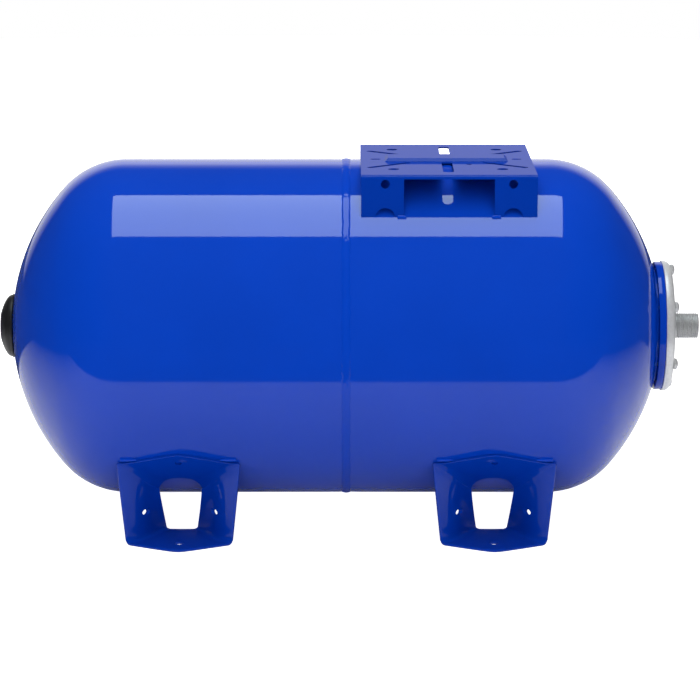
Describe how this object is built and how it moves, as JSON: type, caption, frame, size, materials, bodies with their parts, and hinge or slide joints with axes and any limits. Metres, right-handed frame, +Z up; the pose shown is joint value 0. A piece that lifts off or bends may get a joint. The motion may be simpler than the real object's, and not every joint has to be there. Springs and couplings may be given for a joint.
{
  "type": "expansion vessel",
  "caption": "Horizontal bladder pressure vessel on pressed feet, with a pump bracket on top, a bolted water flange at one end and a capped air valve at the other.",
  "frame": {"origin": "on the floor, at the middle of the rectangle of four floor-bolt holes in the feet", "axes": "+X along the tank axis towards the water connection, +Y to the rear, +Z up"},
  "size_m": [0.8997, 0.4332, 0.469],
  "materials": {
    "tank_paint": "gloss blue epoxy paint over welded steel",
    "zinc_plate": "pale zinc plating on pressed steel",
    "bolt_zinc": "zinc-plated hexagon bolts",
    "nipple_steel": "zinc-plated turned steel, threaded",
    "bladder_rubber": "smooth black rubber",
    "boss_steel": "gloss blue paint over a turned steel boss",
    "valve_brass": "turned brass",
    "pin_steel": "bright drawn steel",
    "seal_rubber": "matt black rubber",
    "cap_plastic": "black moulded plastic with a low sheen"
  },
  "bodies": {
    "root": {"tank_shell_left": "tank_paint", "tank_shell_right": "tank_paint", "seam_weld": "tank_paint", "neck_collar": "tank_paint", "counter_flange": "tank_paint", "foot_front_left": "tank_paint", "foot_front_right": "tank_paint", "foot_rear_left": "tank_paint", "foot_rear_right": "tank_paint", "foot_welds": "tank_paint", "pump_bracket": "tank_paint", "bracket_welds": "tank_paint", "flange_plate": "zinc_plate", "flange_bolts": "bolt_zinc", "water_nipple": "nipple_steel", "bladder": "bladder_rubber", "valve_boss": "boss_steel", "valve_body": "valve_brass", "valve_core": "valve_brass", "valve_core_spring": "pin_steel"},
    "valve_cover": {"valve_cover": "cap_plastic"},
    "dust_cap_seal": {"dust_cap_seal": "seal_rubber"},
    "dust_cap": {"dust_cap": "cap_plastic"},
    "valve_pin": {"valve_pin": "pin_steel", "valve_core_seal": "seal_rubber"}
  },
  "joints": [
    {"name": "cover_pull", "type": "slide", "parent": "root", "child": "valve_cover", "axis": [-1, 0, 0], "range_m": [0, 0.06]},
    {"name": "cap_lift", "type": "slide", "parent": "root", "child": "dust_cap_seal", "axis": [-1, 0, 0], "range_m": [0, 0.00238]},
    {"name": "cap_turn", "type": "hinge", "parent": "dust_cap_seal", "child": "dust_cap", "pos_m": [-0.425, 0, 0.248], "axis": [-1, 0, 0], "range_deg": [0, 1080]},
    {"name": "pin_press", "type": "slide", "parent": "root", "child": "valve_pin", "axis": [1, 0, 0], "range_m": [0, 0.001], "stiffness_N_per_m": 200, "springref_m": -0.002, "deforming": ["valve_core_spring"]}
  ],
  "couplings": [
    {"joint": "cap_turn", "follows": "cap_lift", "rad_per_m": 7915.8}
  ]
}
